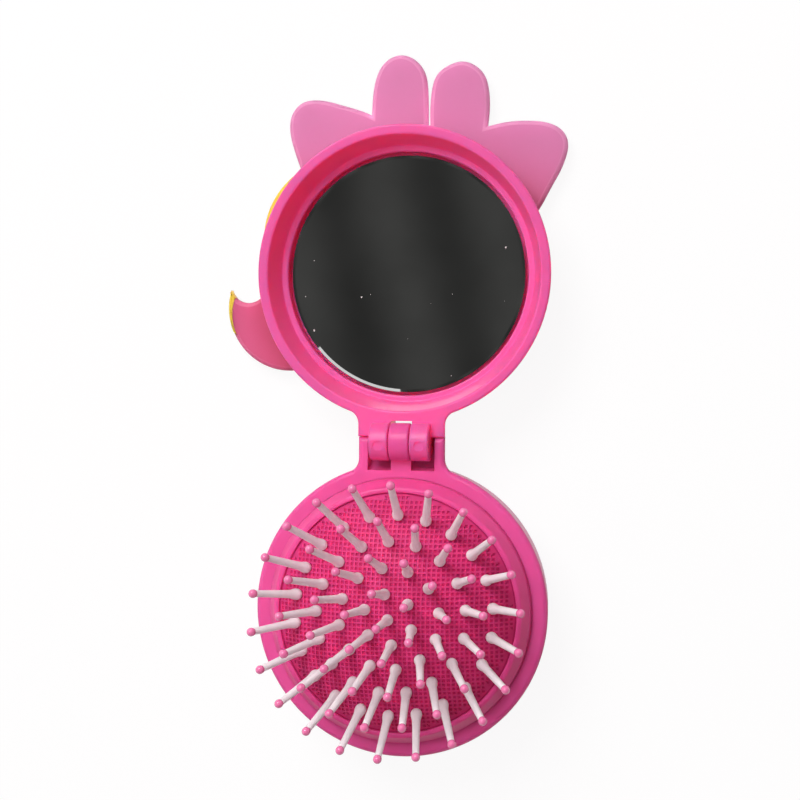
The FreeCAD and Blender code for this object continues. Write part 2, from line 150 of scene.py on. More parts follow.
def object_place(tree: Tree) -> Socket:
    """Object coordinates, which are metres in the frame."""
    return add_node(tree, "ShaderNodeTexCoord").outputs["Object"]


def uneven(tree: Tree, patch: float, low: float, high: float, stretch: Triple = (1, 1, 1)) -> Socket:
    """A soft uneven value over the surface.

    Args:
        tree: node tree to add to.
        patch: size of the patches in millimetres.
        low: least value.
        high: greatest value.
        stretch: how much finer the patches are along each axis.
    Returns:
        The value's socket.
    """
    mapped = add_node(tree, "ShaderNodeMapping", {"Vector": object_place(tree), "Scale": stretch})
    noise = add_node(tree, "ShaderNodeTexNoise", {
        "Vector": mapped.outputs[0], "Scale": 1 / (patch * MM), "Detail": NOISE_DETAIL,
    })
    return add_node(tree, "ShaderNodeMapRange", {
        "Value": noise.outputs[0], "From Min": NOISE_LOW, "From Max": NOISE_HIGH,
        "To Min": low, "To Max": high,
    }).outputs[0]


def mixed(tree: Tree, share: Socket, first: str | Socket, second: str | Socket) -> Socket:
    """Blends two colours.

    Args:
        tree: node tree to add to.
        share: how much of the second colour shows.
        first: hex colour or colour socket.
        second: hex colour or colour socket.
    Returns:
        The blended colour's socket.
    """
    first, second = [linear(c) if isinstance(c, str) else c for c in (first, second)]
    node = add_node(tree, "ShaderNodeMix", {0: share, MIX_A: first, MIX_B: second}, data_type="RGBA")
    return node.outputs[MIX_OUT]


def blank(name: str) -> Material:
    """A new material with an empty node tree.

    Args:
        name: name of the material.
    Returns:
        The material.
    """
    material = bpy.data.materials.new(name)
    material.use_nodes = True
    material.node_tree.nodes.clear()
    return material


@dataclass(frozen=True)
class Finish:
    """A finish, its main and deeper colour, and the shader that draws it."""

    name: str
    colour: str
    deep: str
    roughness: float
    ior: float = 1.5
    shine: float = 0.5          # strength of the reflection, where 0.5 is that of a clean surface

    def material(self) -> Material:
        """The finish as a new material.

        Returns:
            The material with its nodes.
        """
        material = blank(self.name)
        tree = material.node_tree
        surface = add_node(tree, "ShaderNodeBsdfPrincipled", {
            "IOR": self.ior, "Roughness": self.roughness, "Specular IOR Level": self.shine})
        add_node(tree, "ShaderNodeOutputMaterial", {0: surface.outputs[0]})
        self.paint(tree, surface)
        return material

    def translucent(self, surface: bpy.types.Node, weight: float, reach: Triple) -> None:
        """Lets light travel under the surface.

        Args:
            surface: surface shader.
            weight: share of the light that enters.
            reach: how far red, green and blue travel, in millimetres.
        """
        surface.subsurface_method = "BURLEY"
        surface.inputs["Subsurface Weight"].default_value = weight
        surface.inputs["Subsurface Radius"].default_value = reach
        surface.inputs["Subsurface Scale"].default_value = MM

    def link(self, tree: Tree, surface: bpy.types.Node, **sockets: Socket) -> None:
        """Feeds sockets of the surface by name, with underscores for spaces."""
        for name, socket in sockets.items():
            tree.links.new(socket, surface.inputs[name.replace("_", " ")])

    def relief(self, tree: Tree, height: Socket, depth: float) -> Socket:
        """Surface normal for a height from 0 to 1 that stands for a depth in millimetres."""
        return add_node(tree, "ShaderNodeBump", {"Height": height, "Distance": depth * MM}).outputs[0]

    def tone(self, tree: Tree, patch: float) -> Socket:
        """Colour between the main and the deeper one, in patches of a size in millimetres."""
        return mixed(tree, uneven(tree, patch, 0.0, 1.0), self.colour, self.deep)

    def skin(self, tree: Tree, patch: float, spread: float) -> dict[str, Socket]:
        """Colour and roughness that vary over the surface.

        Args:
            tree: node tree to add to.
            patch: size of the patches in millimetres.
            spread: how far the roughness goes up and down.
        Returns:
            The two sockets, by the names that link takes.
        """
        return {
            "Base_Color": self.tone(tree, patch),
            "Roughness": uneven(tree, patch, self.roughness - spread, self.roughness + spread),
        }

    def paint(self, tree: Tree, surface: bpy.types.Node) -> None:
        """Draws the finish on its surface shader."""
        raise NotImplementedError


@dataclass(frozen=True)
class GlossAbs(Finish):
    """ABS from a polished mould: clear highlights, faint flow marks and a trace of orange peel."""

    red_reach: float = 2.5      # how far red light travels inside, in millimetres
    ENTERS = 0.8                # share of the light that goes under the surface
    REACH_MM = (0.5, 1.0)       # of green and blue
    SPREAD = 0.05               # even at a roughness of 0.33; at 0.28 it showed as sharp patches
    FLOW_MM = 14.0
    PEEL_MM = 1.1
    PEEL_DEPTH_MM = 0.004

    def paint(self, tree: Tree, surface: bpy.types.Node) -> None:
        """Draws the moulded gloss.

        Args:
            tree: node tree of the material.
            surface: its surface shader.
        """
        self.translucent(surface, self.ENTERS, (self.red_reach, *self.REACH_MM))
        peel = self.relief(tree, uneven(tree, self.PEEL_MM, 0.0, 1.0), self.PEEL_DEPTH_MM)
        self.link(tree, surface, **self.skin(tree, self.FLOW_MM, self.SPREAD), Normal=peel)


class MattRubber(Finish):
    """Moulded silicone rubber: soft sheen and dusty high spots; a darker copy of it paints shade into the
    hollows.
    """

    ENTERS = 0.45
    REACH_MM = (2.0, 0.2, 0.35)
    SPREAD = 0.08
    DUST_MM = 3.0
    SKIN_MM = 0.3
    SKIN_DEPTH_MM = 0.02

    def paint(self, tree: Tree, surface: bpy.types.Node) -> None:
        """Draws the matt skin.

        Args:
            tree: node tree of the material.
            surface: its surface shader.
        """
        self.translucent(surface, self.ENTERS, self.REACH_MM)
        grain = self.relief(tree, uneven(tree, self.SKIN_MM, 0.0, 1.0), self.SKIN_DEPTH_MM)
        self.link(tree, surface, **self.skin(tree, self.DUST_MM, self.SPREAD), Normal=grain)


class MouldedNylon(Finish):
    """Natural nylon from a mould: milky, with a soft gloss, and lets a little light through."""

    ENTERS = 0.1
    REACH_MM = (0.5, 0.45, 0.45)
    SPREAD = 0.06
    CLOUD_MM = 2.2

    def paint(self, tree: Tree, surface: bpy.types.Node) -> None:
        """Draws the milky nylon."""
        self.translucent(surface, self.ENTERS, self.REACH_MM)
        self.link(tree, surface, **self.skin(tree, self.CLOUD_MM, self.SPREAD))


class DippedResin(Finish):
    """Epoxy resin dipped over a pin's end: wet gloss, colour a little uneven from ball to ball."""

    COAT = 0.3
    DROP_MM = 2.5

    def paint(self, tree: Tree, surface: bpy.types.Node) -> None:
        """Draws the glossy drop."""
        surface.inputs["Coat Weight"].default_value = self.COAT
        self.link(tree, surface, Base_Color=self.tone(tree, self.DROP_MM))


@dataclass(frozen=True)
class SoftPvc(Finish):
    """Soft PVC cast in an open mould: translucent; with a root colour it carries painted shade, deeper at the
    lower end, most of all by the lid.
    """

    root: str = ""              # painted shade colour by the lid, at the lower end; none leaves the finish even
    ENTERS = 1.0
    REACH_MM = (5.0, 3.4, 4.2)
    SPREAD = 0.08
    LOWER_SHADE_MM = (-8.0, 36.0)      # painted shade towards the lower end, from the lid's middle, along the brush
    LID_SHADE_MM = (30.0, 43.0)      # painted shade by the lid, from the lid's middle, outwards
    CLOUD_MM = 6.0
    SKIN_MM = 0.9
    SKIN_DEPTH_MM = 0.008

    def ending(self, tree: Tree, way: Socket, start: float, limits: tuple[float, float]) -> Socket:
        """A share that falls softly from 1 to 0.

        Args:
            tree: node tree to add to.
            way: place along the fall, in metres.
            start: place that the limits are measured from, in metres.
            limits: where the fall begins and ends, in millimetres.
        Returns:
            The share's socket.
        """
        first, last = [start + limit * MM for limit in limits]
        return add_node(tree, "ShaderNodeMapRange", {
            "Value": way, "From Min": first, "From Max": last, "To Min": 1.0, "To Max": 0.0,
        }, interpolation_type="SMOOTHSTEP").outputs[0]

    def tone(self, tree: Tree, patch: float) -> Socket:
        """Cloudy colour, or, with a root colour, the main colour with painted shade that deepens towards the
        lower end and to the root colour by the lid.

        Args:
            tree: node tree to add to.
            patch: size of the clouds in millimetres.
        Returns:
            The colour's socket.
        """
        if not self.root:
            return super().tone(tree, patch)
        # Painted shade: the deep colour grows towards the lower end, and the root colour where that end lies
        # by the lid.
        middle = sum(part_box("mirror_glass"), Vector()) / 2
        along = add_node(tree, "ShaderNodeSeparateXYZ", {0: object_place(tree)}).outputs["Y"]
        low = self.ending(tree, along, middle.y, self.LOWER_SHADE_MM)
        away = add_node(
            tree, "ShaderNodeVectorMath", {0: object_place(tree), 1: middle}, operation="DISTANCE")
        near = self.ending(tree, away.outputs["Value"], 0.0, self.LID_SHADE_MM)
        both = add_node(tree, "ShaderNodeMath", {0: low, 1: near}, operation="MULTIPLY").outputs[0]
        return mixed(tree, both, mixed(tree, low, self.colour, self.deep), self.root)

    def paint(self, tree: Tree, surface: bpy.types.Node) -> None:
        """Draws the translucent skin.

        Args:
            tree: node tree of the material.
            surface: its surface shader.
        """
        self.translucent(surface, self.ENTERS, self.REACH_MM)
        grain = self.relief(tree, uneven(tree, self.SKIN_MM, 0.0, 1.0), self.SKIN_DEPTH_MM)
        self.link(tree, surface, **self.skin(tree, self.CLOUD_MM, self.SPREAD), Normal=grain)


class SilveredGlass(Finish):
    """Silvered float glass: a clean mirror with a few specks of lint and the faintest wiping marks."""

    SPECK_CELL_MM = 9.0
    SPECK_SHARE = 0.034         # radius of the largest speck as a share of its cell
    SPECK_KEEP = 0.5            # cells whose random value is under this stay clean
    RAGGED_MM = 0.5
    RAGGED = (0.2, 1.6)         # least and greatest size of a speck at its ragged edge
    WIPE_MM = 9.0
    WIPED = 3.0                 # roughness of the dullest wiping mark, as a multiple of the clean glass

    def paint(self, tree: Tree, surface: bpy.types.Node) -> None:
        """Draws the mirror with its lint.

        Args:
            tree: node tree of the material.
            surface: its surface shader.
        """
        cells = add_node(tree, "ShaderNodeTexVoronoi", {
            "Vector": object_place(tree), "Scale": 1 / (self.SPECK_CELL_MM * MM)}, voronoi_dimensions="2D")
        reach = add_node(tree, "ShaderNodeMapRange", {
            "Value": cells.outputs["Color"], "From Min": self.SPECK_KEEP, "To Max": self.SPECK_SHARE})
        ragged = add_node(tree, "ShaderNodeMath", {
            0: reach.outputs[0], 1: uneven(tree, self.RAGGED_MM, *self.RAGGED)}, operation="MULTIPLY")
        speck = add_node(tree, "ShaderNodeMath", {
            0: cells.outputs["Distance"], 1: ragged.outputs[0]}, operation="LESS_THAN")
        clean = add_node(tree, "ShaderNodeMath", {0: 1.0, 1: speck.outputs[0]}, operation="SUBTRACT")
        self.link(
            tree, surface,
            Base_Color=mixed(tree, speck.outputs[0], self.colour, self.deep),
            Metallic=clean.outputs[0],
            Roughness=uneven(tree, self.WIPE_MM, self.roughness, self.WIPED * self.roughness),
        )


class DrawnSteel(Finish):
    """Drawn steel wire: bright, with fine lines along its length."""

    LINE_MM = 0.12              # coarser than real drawing lines, so that they show
    LINED = 2.0                 # roughness of the dullest line, as a multiple of the brightest
    ALONG_X = (0.03, 1, 1)

    def paint(self, tree: Tree, surface: bpy.types.Node) -> None:
        """Draws the drawn lines.

        Args:
            tree: node tree of the material.
            surface: its surface shader.
        """
        surface.inputs["Metallic"].default_value = 1.0
        lines = uneven(tree, self.LINE_MM, 0.0, 1.0, self.ALONG_X)
        self.link(
            tree, surface,
            Base_Color=mixed(tree, lines, self.colour, self.deep),
            Roughness=uneven(
                tree, self.LINE_MM, self.roughness, self.LINED * self.roughness, self.ALONG_X),
        )


class FoamTape(Finish):
    """Double-sided foam tape: open cells at the cut edge, dull and pale."""

    CELL_MM = 0.35
    CELL_DEPTH_MM = 0.08

    def paint(self, tree: Tree, surface: bpy.types.Node) -> None:
        """Draws the foam's cells.

        Args:
            tree: node tree of the material.
            surface: its surface shader.
        """
        cells = uneven(tree, self.CELL_MM, 0.0, 1.0)
        self.link(
            tree, surface,
            Base_Color=mixed(tree, cells, self.colour, self.deep),
            Normal=self.relief(tree, cells, self.CELL_DEPTH_MM),
        )


def stocked(finish: Finish) -> Material:
    """A field of the palette that holds the finish's material."""
    return field(default_factory=finish.material)


@dataclass
class Palette:
    """Every material of the brush, made once."""

    case: Material = stocked(GlossAbs("gloss_abs", "EA59A1", "E6539C", 0.33, 1.53, 0.22))
    # A redder copy of the case plastic for the ring: painted shade, for the red of its shaded side.
    ring: Material = stocked(GlossAbs("gloss_abs_ring_shade_tinted", "F0549C", "EC4E97", 0.33, 1.53, 0.2))
    thin_case: Material = stocked(GlossAbs(
        "gloss_abs_thin", "F460A8", "F05AA3", 0.33, 1.53, 0.3, red_reach=12.0))
    plate: Material = stocked(GlossAbs("satin_abs", "C42D70", "B82668", 0.45, 1.53))
    rubber: Material = stocked(MattRubber("silicone_rubber", "DC3F82", "D23779", 0.55, 1.42, 0.3))
    # Darker rubber for the pit floors and the lip: painted shade.
    rubber_shade: Material = stocked(MattRubber("silicone_rubber_shade", "C83072", "BE2A6A", 0.62, 1.42, 0.2))
    nylon: Material = stocked(MouldedNylon("natural_nylon", "FCFCFD", "F6F6F8", 0.38, 1.53))
    resin: Material = stocked(DippedResin("dipped_resin", "F684B8", "F279B0", 0.22, 1.52))
    glass: Material = stocked(SilveredGlass("silvered_glass", "A8A9A9", "DAD9D6", 0.01))
    steel: Material = stocked(DrawnSteel("drawn_steel", "C9C8C6", "A9A8A7", 0.18))
    tape: Material = stocked(FoamTape("foam_tape", "E4E3DF", "C9C8C2", 0.85, 1.45))
    # The lobed sheet's deep colour at the lower end and its root colour by the lid are painted shade.
    sheet: Material = stocked(SoftPvc("soft_pvc", "D47EAF", "D55C88", 0.42, shine=0.35, root="B83256"))
    # The sheet's rounded edges: paler colours as painted light along the edges; their deep and root colours
    # are painted shade as on the sheet.
    sheet_edge_lightened: Material = stocked(SoftPvc(
        "soft_pvc_edge_lightened", "E092BE", "DC6E96", 0.5, shine=0.3, root="C03C60"))
    inlay: Material = stocked(SoftPvc("soft_pvc_pale", "F3B9D5", "EEAECD", 0.36))
    petal: Material = stocked(SoftPvc("soft_pvc_rose", "F9D6E6", "F4CADE", 0.36))
    yellow: Material = stocked(SoftPvc("soft_pvc_yellow", "F5D94A", "F0CE3E", 0.36))


def finished(name: str, mesh: bmesh.types.BMesh, materials: list[Material],
             sharp_deg: float = 40.0) -> Object:
    """Turns a bmesh in millimetres into an object in metres, smooth except at its sharp edges.

    Args:
        name: name of the piece.
        mesh: the shape, which is freed.
        materials: finishes by the faces' material numbers.
        sharp_deg: edges that turn by more than this stay crisp.
    Returns:
        The new object, at the origin.
    """
    for face in mesh.faces:
        face.smooth = True
    for edge in mesh.edges:
        edge.smooth = edge.calc_face_angle(0.0) < math.radians(sharp_deg)
    bmesh.ops.scale(mesh, vec=(MM, MM, MM), verts=mesh.verts)
    data = bpy.data.meshes.new(name)
    mesh.to_mesh(data)
    mesh.free()
    for material in materials:
        data.materials.append(material)
    piece = bpy.data.objects.new(name, data)
    bpy.context.scene.collection.objects.link(piece)
    return piece


def cleaned(mesh: bmesh.types.BMesh) -> bmesh.types.BMesh:
    """Merges doubles and turns every face outwards.

    Args:
        mesh: the shape, in millimetres.
    Returns:
        The same bmesh.
    """
    bmesh.ops.remove_doubles(mesh, verts=mesh.verts, dist=WELD)
    bmesh.ops.recalc_face_normals(mesh, faces=mesh.faces)
    return mesh


def dress(node: str, material: Material) -> None:
    """Gives a node of the frame its finish."""
    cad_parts[node].material_slots[0].material = material
    LOG.info("%s dressed in %s", node, material.name)


def stand_for(piece: Object, node: str, body: str, slot: Slot) -> None:
    """Puts a piece in the place of a node.

    Args:
        piece: the new piece.
        node: node of the frame that it replaces.
        body: body that carries it.
        slot: material slot of its finish; not used.
    """
    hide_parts(node)
    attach(piece, body)
    LOG.info("%s replaces %s on %s", piece.name, node, body)


@dataclass
class Case:
    """Base, ring, lid and hinge: rigid shells whose shape comes from the frame."""

    palette: Palette

    def dress(self) -> None:
        """Dresses the shells, the push plate and the hinge pin."""
        dress("base_shell", self.palette.case)
        dress("retaining_ring", self.palette.ring)
        dress("lid_shell", self.palette.thin_case)
        dress("push_plate", self.palette.plate)
        dress("hinge_pin", self.palette.steel)


@dataclass
class Cushion:
    """Domed rubber cushion with a moulded grid of square pits and a clamped flange."""

    palette: Palette
    edge_r: float = 26.2
    cap_h: float = 10.2
    wall: float = 2.0
    flange_r: float = 29.45
    flange_t: float = 1.2
    pitch: float = 1.0
    rib: float = 0.5             # flat between two pits
    pit_draft: float = 0.06
    pit_depth: float = 0.36
    lip: float = 0.31            # reach of the soft lip that lies against the ring
    lip_drop: float = 0.25       # how far its end lies under the dome's edge
    under_rings: int = 6
    blend_from: float = 15.0     # a height, in millimetres

    def __post_init__(self) -> None:
        """Takes the heights of the cushion from the frame."""
        low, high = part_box("cushion_pad")
        self.floor_z = low.z / MM
        self.crown_z = high.z / MM
        self.dome_r = (self.edge_r ** 2 + self.cap_h ** 2) / (2 * self.cap_h)

    def dome_z(self, radius: float, under: float = 0.0) -> float:
        """Height of the dome at a radius, or of a surface so far under it."""
        return self.crown_z - self.dome_r + math.sqrt((self.dome_r - under) ** 2 - radius ** 2)

    def pitted_cap(self) -> bmesh.types.BMesh:
        """The dome's outside as a round grid with a pit in every cell.

        Returns:
            The open cap, in millimetres.
        """
        mesh = bmesh.new()
        cells = 2 * math.ceil(self.edge_r / self.pitch)
        bmesh.ops.create_grid(mesh, x_segments=cells, y_segments=cells, size=cells * self.pitch / 2)
        outside = [f for f in mesh.faces if f.calc_center_median().length > self.edge_r - self.pitch / 2]
        bmesh.ops.delete(mesh, geom=outside, context="FACES")
        pitted = list(mesh.faces)
        rim = {v for e in mesh.edges if e.is_boundary for v in e.verts}
        bmesh.ops.inset_individual(mesh, faces=pitted, thickness=self.rib / 2)
        bmesh.ops.inset_individual(mesh, faces=pitted, thickness=self.pit_draft, depth=-self.pit_depth)
        # Pit floors take the darker rubber: painted shade.
        for face in pitted:
            face.material_index = 1
        for vert in rim:
            vert.co.xy *= self.edge_r / vert.co.xy.length
        for vert in mesh.verts:
            vert.co.z += self.dome_z(vert.co.xy.length)
        return mesh

    def carry_edge(self, mesh: bmesh.types.BMesh, radius: float, height: float) -> None:
        """Extrudes the open edge.

        Args:
            mesh: the open shape.
            radius: the edge's new radius.
            height: its new height.
        """
        edges = [e for e in mesh.edges if e.is_boundary]
        made = bmesh.ops.extrude_edge_only(mesh, edges=edges)["geom"]
        for vert in (g for g in made if isinstance(g, bmesh.types.BMVert)):
            vert.co.xy *= radius / vert.co.xy.length
            vert.co.z = height

    def build(self) -> Object:
        """Builds the cushion in the place of its node.

        Returns:
            The new object.
        """
        mesh = self.pitted_cap()
        inner_r = self.edge_r - self.wall
        lip_z = self.dome_z(self.edge_r) - self.lip_drop
        self.carry_edge(mesh, self.edge_r + self.lip, lip_z)
        # The lip takes the darker rubber too: painted shade in the gap by the ring.
        for face in (e.link_faces[0] for e in mesh.edges if e.is_boundary):
            face.material_index = 1
        self.carry_edge(mesh, self.edge_r, lip_z - self.lip)
        self.carry_edge(mesh, self.edge_r, self.floor_z + self.flange_t)
        self.carry_edge(mesh, self.flange_r, self.floor_z + self.flange_t)
        self.carry_edge(mesh, self.flange_r, self.floor_z)
        self.carry_edge(mesh, inner_r, self.floor_z)
        for ring in range(self.under_rings, 0, -1):
            radius = inner_r * ring / self.under_rings
            self.carry_edge(mesh, radius, self.dome_z(radius, self.wall))
        last = [e for e in mesh.edges if e.is_boundary]
        made = bmesh.ops.extrude_edge_only(mesh, edges=last)["geom"]
        pole = [g for g in made if isinstance(g, bmesh.types.BMVert)]
        bmesh.ops.pointmerge(mesh, verts=pole, merge_co=(0, 0, self.dome_z(0, self.wall)))
        piece = finished("rubber_cushion", cleaned(mesh), [self.palette.rubber, self.palette.rubber_shade])
        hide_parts("cushion_pad")
        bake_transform(piece)
        LOG.info("%s replaces cushion_pad", piece.name)
        return piece


@dataclass
class Bristles:
    """Nylon pins with a bulb at the foot and a resin ball on the end, in rings on the dome."""

    palette: Palette
    cushion: Cushion
    ring_counts: tuple[int, ...] = (1, 6, 12, 17, 22)
    ring_turns_deg: tuple[float, ...] = (0.0, 8.4, 8.4, 2.0, 14.0)
    ring_step: float = 5.4
    group: int = 3
    length: float = 14.6
    ball_r: float = 0.95
    ball_neck: float = 1.2       # how much the lower half of a ball is drawn out along the pin
    sides: int = 16
    ball_rings: int = 10
    # Radius and height of the pin's outline over the cushion: head, shank, bulb, waist and shaft
    outline: tuple[tuple[float, float], ...] = (
        (0.0, -2.63), (1.45, -2.63), (1.6, -2.5), (1.6, -2.03), (0.85, -2.03), (0.85, 0.0), (1.08, 0.03),
        (1.2, 0.3), (1.27, 0.75), (1.24, 1.2), (1.12, 1.75), (0.99, 2.35), (0.92, 3.1), (0.88, 4.6),
        (0.8, 9.2), (0.72, 13.5), (0.0, 13.6),
    )

    def place(self, ring: int, index: int) -> Matrix:
        """Where one pin stands: its foot on the dome, its axis along the dome's normal.

        Args:
            ring: number of its ring, from the middle.
            index: its number in the ring.
        Returns:
            The pin's place, in millimetres.
        """
        radius = ring * self.ring_step
        tilt = math.asin(radius / self.cushion.dome_r)
        turn = math.radians(90 + self.ring_turns_deg[ring]) - FULL_TURN * index / self.ring_counts[ring]
        heading = Matrix.Rotation(turn, 4, "Z")
        root = heading @ Vector((radius, 0, self.cushion.dome_z(radius)))
        return Matrix.Translation(root) @ heading @ Matrix.Rotation(tilt, 4, "Y")

    def pin(self) -> bpy.types.Mesh:
        """One pin at the origin, spun from its outline.

        Returns:
            Its mesh, in millimetres.
        """
        mesh = bmesh.new()
        verts = [mesh.verts.new((r, 0, z)) for r, z in self.outline]
        edges = [mesh.edges.new(pair) for pair in zip(verts, verts[1:])]
        bmesh.ops.spin(mesh, geom=verts + edges, cent=(0, 0, 0), axis=(0, 0, 1), angle=FULL_TURN,
                       steps=self.sides, use_merge=True)
        data = bpy.data.meshes.new("pin")
        cleaned(mesh).to_mesh(data)
        mesh.free()
        return data

    def ball(self) -> bpy.types.Mesh:
        """One ball at its pin's end, with its lower half drawn out into a neck.

        Returns:
            Its mesh, in millimetres.
        """
        mesh = bmesh.new()
        bmesh.ops.create_uvsphere(mesh, u_segments=self.sides, v_segments=self.ball_rings, radius=self.ball_r)
        for vert in mesh.verts:
            if vert.co.z < 0:
                vert.co.z *= self.ball_neck
        bmesh.ops.translate(mesh, verts=mesh.verts, vec=(0, 0, self.length - self.ball_r))
        data = bpy.data.meshes.new("ball")
        mesh.to_mesh(data)
        mesh.free()
        return data

    def groups(self) -> dict[str, list[Matrix]]:
        """Places of the pins by the group that tips together.

        Returns:
            The places of each group by its name.
        """
        rings = [[self.place(ring, i) for i in range(count)] for ring, count in enumerate(self.ring_counts)]
        made = {"core": rings[0] + rings[1], "inner": rings[2]}
        for name, places in (("middle", rings[3]), ("outer", rings[4])):
            for start in range(0, len(places), self.group):
                made[f"{name}_{start // self.group + 1}"] = places[start:start + self.group]
        return made

    def copies(self, name: str, shape: bpy.types.Mesh, places: list[Matrix], material: Material) -> Object:
        """Copies of one shape at several places, as one piece.

        Args:
            name: name of the piece.
            shape: mesh of one copy.
            places: where the copies stand.
            material: their finish.
        Returns:
            The new object.
        """
        mesh = bmesh.new()
        for place in places:
            copy = shape.copy()
            copy.transform(place)
            mesh.from_mesh(copy)
            bpy.data.meshes.remove(copy)
        return finished(name, mesh, [material])

    def build(self) -> None:
        """Builds pins and balls, group by group; the core and inner groups go on the plunger, each other
        group on its own body.
        """
        pin, ball = self.pin(), self.ball()
        for group, places in self.groups().items():
            row, _, number = group.partition("_")
            ending = f"_{number}" if number else ""
            body = group if number else Body.PLUNGER.value
            pins = self.copies(f"{row}_bristles{ending}", pin, places, self.palette.nylon)
            stand_for(pins, f"{row}_pins{ending}", body, Slot.NYLON)
            balls = self.copies(f"{row}_balls{ending}", ball, places, self.palette.resin)
            stand_for(balls, f"{row}_tips{ending}", body, Slot.RESIN)


@dataclass
class Plaque:
    """Soft plaque behind the lid: a lobed sheet with inlays, a flower, a button and yellow trim."""

    palette: Palette
    edge_round: float = 1.0
    relief_round: float = 0.35
    trim_round: float = 0.4
    tape_round: float = 0.1
    round_steps: int = 3
    sharp_deg: float = 35.0
    flat_deg: float = 0.5
    seam: float = 0.06           # pieces closer than this lie flush

    def free_edges(self, edges: list[bmesh.types.BMEdge], neighbour: str) -> list[bmesh.types.BMEdge]:
        """Edges that don't lie against another node of the frame.

        Args:
            edges: edges of a piece, in millimetres.
            neighbour: name of the other node.
        Returns:
            Those further from it than a seam.
        """
        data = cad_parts[neighbour].data
        surface = BVHTree.FromPolygons(
            [v.co for v in data.vertices], [list(p.vertices) for p in data.polygons])
        middles = [(edge.verts[0].co + edge.verts[1].co) * MM / 2 for edge in edges]
        reach = self.seam * MM
        return [e for e, middle in zip(edges, middles) if surface.find_nearest(middle, reach)[0] is None]

    def plate(self, node: str) -> bmesh.types.BMesh:
        """A node that is flat on both sides, extruded afresh from its upper face.

        Args:
            node: node of the frame that gives outline and thickness.
        Returns:
            The plate in millimetres, with plain walls.
        """
        mesh = bmesh.new()
        mesh.from_mesh(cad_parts[node].data)
        bmesh.ops.scale(mesh, vec=(1 / MM, 1 / MM, 1 / MM), verts=mesh.verts)
        bmesh.ops.remove_doubles(mesh, verts=mesh.verts, dist=WELD)
        heights = [vert.co.z for vert in mesh.verts]
        lower = [f for f in mesh.faces if min(v.co.z for v in f.verts) < max(heights) - WELD]
        bmesh.ops.delete(mesh, geom=lower, context="FACES")
        bmesh.ops.dissolve_limit(
            mesh, angle_limit=math.radians(self.flat_deg), verts=mesh.verts, edges=mesh.edges)
        made = bmesh.ops.extrude_face_region(mesh, geom=mesh.faces[:])["geom"]
        moved = [part for part in made if isinstance(part, bmesh.types.BMVert)]
        bmesh.ops.translate(mesh, verts=moved, vec=(0, 0, min(heights) - max(heights)))
        return cleaned(mesh)

    def softened(self, name: str, node: str, radius: float, materials: list[Material],
                 neighbour: str = "") -> Object:
        """A fresh copy of a flat node with its sharp edges rounded.

        Args:
            name: name of the piece.
            node: node of the frame that gives the shape.
            radius: rounding of its edges.
            materials: finish of the faces, and of the rounded edges where a second one is given.
            neighbour: node that it lies flush with; the edges between the two stay crisp.
        Returns:
            The new object.
        """
        mesh = self.plate(node)
        sharp = [e for e in mesh.edges if e.calc_face_angle(0.0) > math.radians(self.sharp_deg)]
        flat = [e for e in sharp if abs(e.verts[0].co.z - e.verts[1].co.z) < WELD]
        if neighbour:
            flat = self.free_edges(flat, neighbour)
        made = bmesh.ops.bevel(mesh, geom=flat, offset=radius, offset_type="OFFSET", affect="EDGES",
                               segments=self.round_steps, profile=0.5, material=-1, clamp_overlap=False)
        # Rounded edges take the last finish; on the lobed sheet that is the paler edge finish, painted light
        # along the edges.
        for face in made["faces"]:
            face.material_index = len(materials) - 1
        piece = finished(name, mesh, materials)
        piece.modifiers.new("level_faces", "WEIGHTED_NORMAL").keep_sharp = True
        return piece

    def build(self) -> None:
        """Builds the plaque's pieces in the place of their nodes."""
        palette = self.palette
        rows = (
            ("lobed_sheet", "plaque_sheet", self.edge_round, [palette.sheet, palette.sheet_edge_lightened], Slot.PLAQUE,
             "plaque_trim"),
            ("pale_inlays", "plaque_inlays", self.relief_round, [palette.inlay], Slot.PLAQUE_PALE, ""),
            ("flower_petals", "plaque_petals", self.relief_round, [palette.petal], Slot.PLAQUE_ROSE, ""),
            ("flower_button", "plaque_button", self.relief_round, [palette.yellow], Slot.PLAQUE_YELLOW, ""),
            ("yellow_trim", "plaque_trim", self.trim_round, [palette.yellow], Slot.PLAQUE_YELLOW,
             "plaque_sheet"),
            ("plaque_foam", "plaque_tape", self.tape_round, [palette.tape], Slot.TAPE, ""),
        )
        for name, node, radius, materials, slot, neighbour in rows:
            piece = self.softened(name, node, radius, materials, neighbour)
            stand_for(piece, node, Body.LID.value, slot)


@dataclass
class Mirror:
    """Round mirror in the lid, on a tape like the plaque's."""

    palette: Palette
    plaque: Plaque

    def build(self) -> None:
        """Dresses the glass and builds the tape behind it."""
        dress("mirror_glass", self.palette.glass)
        tape = self.plaque.softened("mirror_foam", "mirror_tape", self.plaque.tape_round, [self.palette.tape])
        stand_for(tape, "mirror_tape", Body.LID.value, Slot.TAPE)


@dataclass(frozen=True)
class Softbox:
    """A square soft light that faces the brush."""

    name: str
    azimuth_deg: float          # from +X towards +Y
    elevation_deg: float
    distance: float             # metres
    size: float                 # metres
    level: float                # light on a surface that faces it, where 1 shows a colour as written
    mirrored: bool = True       # whether gloss and mirror show it

    def build(self, target: Vector) -> None:
        """Hangs the light.

        Args:
            target: point that it faces.
        """
        lamp = bpy.data.lights.new(self.name, "AREA")
        lamp.shape = "SQUARE"
        lamp.size = self.size
        lamp.energy = self.level * (math.pi * self.distance) ** 2
        light = bpy.data.objects.new(self.name, lamp)
        light.visible_glossy = self.mirrored
        azimuth, elevation = math.radians(self.azimuth_deg), math.radians(self.elevation_deg)
        towards = Vector((math.cos(azimuth) * math.cos(elevation),
                          math.sin(azimuth) * math.cos(elevation), math.sin(elevation)))
        light.location = target + towards * self.distance
        light.rotation_euler = towards.to_track_quat("Z", "Y").to_euler()
        bpy.context.scene.collection.objects.link(light)


